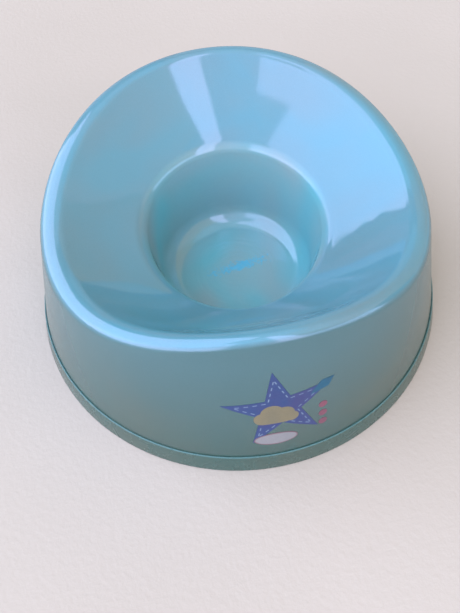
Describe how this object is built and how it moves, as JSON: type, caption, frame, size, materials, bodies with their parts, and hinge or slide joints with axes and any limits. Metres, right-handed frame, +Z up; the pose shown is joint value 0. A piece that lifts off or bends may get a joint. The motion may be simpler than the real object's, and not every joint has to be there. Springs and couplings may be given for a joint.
{
  "type": "potty training chair",
  "caption": "Low round baby potty: a moulded bowl with a dished seat, rolled saddle rim and flared skirt, an anti-slip ring round its foot and a small star print on the front.",
  "frame": {"origin": "on the floor, on the common axis of the bowl and the skirt", "axes": "+Z up along the axis, +Y towards the child's back, -Y towards the printed front, +X to the right as seen from the front"},
  "size_m": [0.28, 0.28, 0.1238],
  "materials": {
    "pearl_plastic": "glossy pearlescent pale blue polypropylene, slightly translucent",
    "ring_plastic": "satin soft plastic, a little bluer than the shell",
    "violet_ink": "blue-violet printed ink",
    "white_ink": "white printed ink",
    "cream_ink": "cream printed ink",
    "pink_ink": "pink printed ink",
    "teal_ink": "teal printed ink"
  },
  "bodies": {
    "root": {"potty_shell": "pearl_plastic", "foot_ring": "ring_plastic", "print_star": "violet_ink", "print_star_stitches": "white_ink", "print_cloud": "cream_ink", "print_oval": "white_ink", "print_oval_border": "pink_ink", "print_kite": "teal_ink", "print_dots": "pink_ink"}
  },
  "joints": []
}
